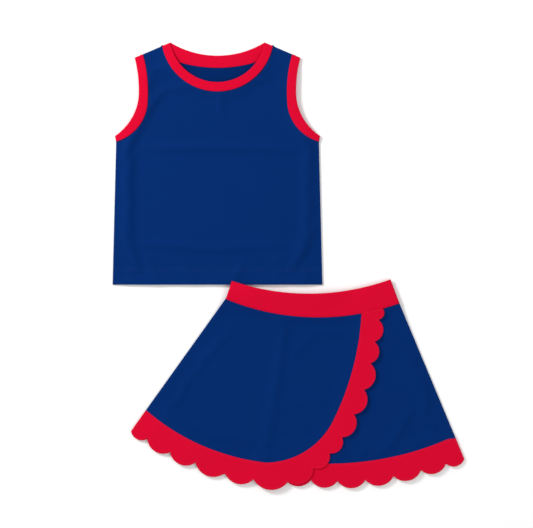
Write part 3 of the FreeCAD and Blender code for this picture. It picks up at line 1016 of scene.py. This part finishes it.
def beneath_overlap(points):
    """The underlap and its border where they reach, and the skirt's back elsewhere."""
    level = above_back(points)
    panel = laid_on("underlap_cloth")(points) + CONTACT * MM
    level = np.where(inside(points, underlap_loop), np.maximum(level, panel), level)
    on_border = inside(points, underlap_trim) | (
        from_rim(points, rim_tree(underlap_trim)) < BORDER_REACH)
    return np.where(on_border, np.maximum(level, underlap_height(points) + 1.7 * MM), level)


overlap = cloth("overlap_cloth", overlap_cut, overlap_height, navy_jersey, "navy_jersey",
                "wrap", settle=(0.006, 26, from_edge, beneath_overlap),
                rests_on=["underlap_cloth"])
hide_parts("overlap_panel_sewn", "overlap_panel_flap")
overlap_border = cloth("overlap_border_cloth", overlap_trim, raised(overlap_height, BORDER_RISE),
                       red_jersey, "red_jersey", "wrap", spacing=4 * MM, rim_step=1.5 * MM,
                       size=wide_trim(overlap_trim))
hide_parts("overlap_border_sewn", "overlap_border_flap")
overlap_facing = cloth("overlap_facing_cloth", overlap_trim, raised(overlap_height, -0.55),
                       red_inside_shaded, "red_facing", "wrap", spacing=8 * MM, thickness=0.45 * MM,
                       size=wide_trim(overlap_trim))
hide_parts("overlap_facing_sewn", "overlap_facing_flap")


def back_waist_height(points):
    return np.full(len(points), 2.2 * MM) + skirt_lift(points)


def gathers(along, share):
    """Close upright gathers where the elastic draws the back waistband in."""
    middle = 1 - abs(2 * min(max(share, 0), 1) - 1) ** 3
    wave = math.sin(2 * math.pi * along / (6.5 * MM) + 1.3 * math.sin(along / (17 * MM)))
    return 0.55 * MM * wave * (0.35 + 0.65 * middle)


waistband = band(
    "front_waistband_cloth", waist_loop, SKIRT_MIDDLE, front_waist_height, 2.6 * MM, red_jersey,
    "red_jersey", "skirt", roundness=0.5)
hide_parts("front_waistband")
back_waistband = band(
    "back_waistband_cloth", back_waist_loop, SKIRT_MIDDLE, back_waist_height, 2.2 * MM, red_jersey,
    "red_jersey", "skirt", ripple=gathers, step=1.1 * MM, inset=0.8 * MM)
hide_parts("back_waistband")
for node, height, material, slot in (
    ("waist_elastic", back_waist_height, white_elastic, "white_elastic"),
    ("waistband_interfacing", front_waist_height, white_felt, "white_interfacing"),
):
    inner = band(f"{node}_cloth", outlines([node])[0], SKIRT_MIDDLE, height, 0.5 * MM, material,
                 slot, "skirt", over=0.0)
    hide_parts(node)


def skirt_between(points):
    return (underlap_height(points) + back_skirt_height(points)) / 2


def side_loop(waist_end, seam, hem, inward):
    """A narrow outline down one side of the skirt, from the waistband to the hem."""
    reach = np.array([inward * 7 * MM, 0])
    waist_end, seam, hem = np.array(waist_end), np.array(seam), np.array(hem)
    outer = np.array([waist_end + 0.2 * (seam - waist_end), seam, seam + 0.96 * (hem - seam)])
    outer[:, 0] += inward * 0.5 * MM
    loop = np.concatenate([outer, (outer + reach)[::-1]]) + SKIRT_AT
    return loop if inward > 0 else loop[::-1]


for side, line, waist_end, inward in (
    ("left", SKIRT_LEFT, WAIST_LEFT_END, 1), ("right", SKIRT_RIGHT, WAIST_RIGHT_END, -1)
):
    loop = side_loop(waist_end, line[0], line[1], inward)
    seam_cloth = cloth(f"skirt_{side}_seam_cloth", loop, skirt_between, navy_inside_shaded, "navy_seam",
                       "skirt", spacing=3 * MM, thickness=1.2 * MM,
                       size=wide_trim(loop, NARROWEST))
    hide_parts(f"skirt_{side}_seam")

for name, loop, height, body in (
    ("overlap", overlap_trim, overlap_height, "wrap"),
    ("underlap", underlap_trim, underlap_height, "skirt"),
):
    on_border = raised(height, BORDER_RISE + SURFACE)
    rows = [(path, on_border) for path in inner_paths(loop, 2.2 * MM)]
    stitches(f"{name}_stitching", rows, red_thread, "red_jersey", body)

# --- floor, light and camera -------------------------------------------------------------

FLOOR_SIZE = 6.0
VIEW_WIDTH = 754.2 * MM
VIEW_MIDDLE = (-31.1 * MM, 2.9 * MM)
CLOTH_LEVEL = 4 * MM


def floor():
    mesh = bpy.data.meshes.new("floor")
    half = FLOOR_SIZE / 2
    corners = [(-half, -half, -0.2 * MM), (half, -half, -0.2 * MM), (half, half, -0.2 * MM),
               (-half, half, -0.2 * MM)]
    mesh.from_pydata(corners, [], [(0, 1, 2, 3)])
    material = bpy.data.materials.new("floor_white")
    material.use_nodes = True
    shader = material.node_tree.nodes["Principled BSDF"]
    shader.inputs["Base Color"].default_value = (0.93, 0.93, 0.93, 1)
    shader.inputs["Roughness"].default_value = 0.9
    shader.inputs["Specular IOR Level"].default_value = 0.1
    mesh.materials.append(material)
    obj = bpy.data.objects.new("floor", mesh)
    bpy.context.scene.collection.objects.link(obj)


def light(name, place, size, power):
    lamp = bpy.data.lights.new(name, "AREA")
    lamp.shape = "DISK"
    lamp.size = size
    lamp.energy = power
    obj = bpy.data.objects.new(name, lamp)
    obj.location = place
    obj.rotation_euler = (-Vector(place)).to_track_quat("-Z", "Y").to_euler()
    bpy.context.scene.collection.objects.link(obj)


def world():
    sky = bpy.data.worlds.new("studio")
    sky.use_nodes = True
    background = sky.node_tree.nodes["Background"]
    background.inputs["Color"].default_value = (1, 1, 1, 1)
    background.inputs["Strength"].default_value = 0.62
    bpy.context.scene.world = sky


def camera():
    data = bpy.data.cameras.new("camera")
    data.lens = 120
    data.sensor_width = 36
    obj = bpy.data.objects.new("camera", data)
    distance = VIEW_WIDTH * data.lens / data.sensor_width
    obj.location = (*VIEW_MIDDLE, distance + CLOTH_LEVEL)
    bpy.context.scene.collection.objects.link(obj)
    bpy.context.scene.camera = obj


floor()
world()
light("key", (-1.3, 0.9, 1.1), 0.5, 26)
light("fill", (1.2, -0.6, 1.8), 1.6, 12)
camera()
bpy.context.scene.view_settings.view_transform = "Standard"
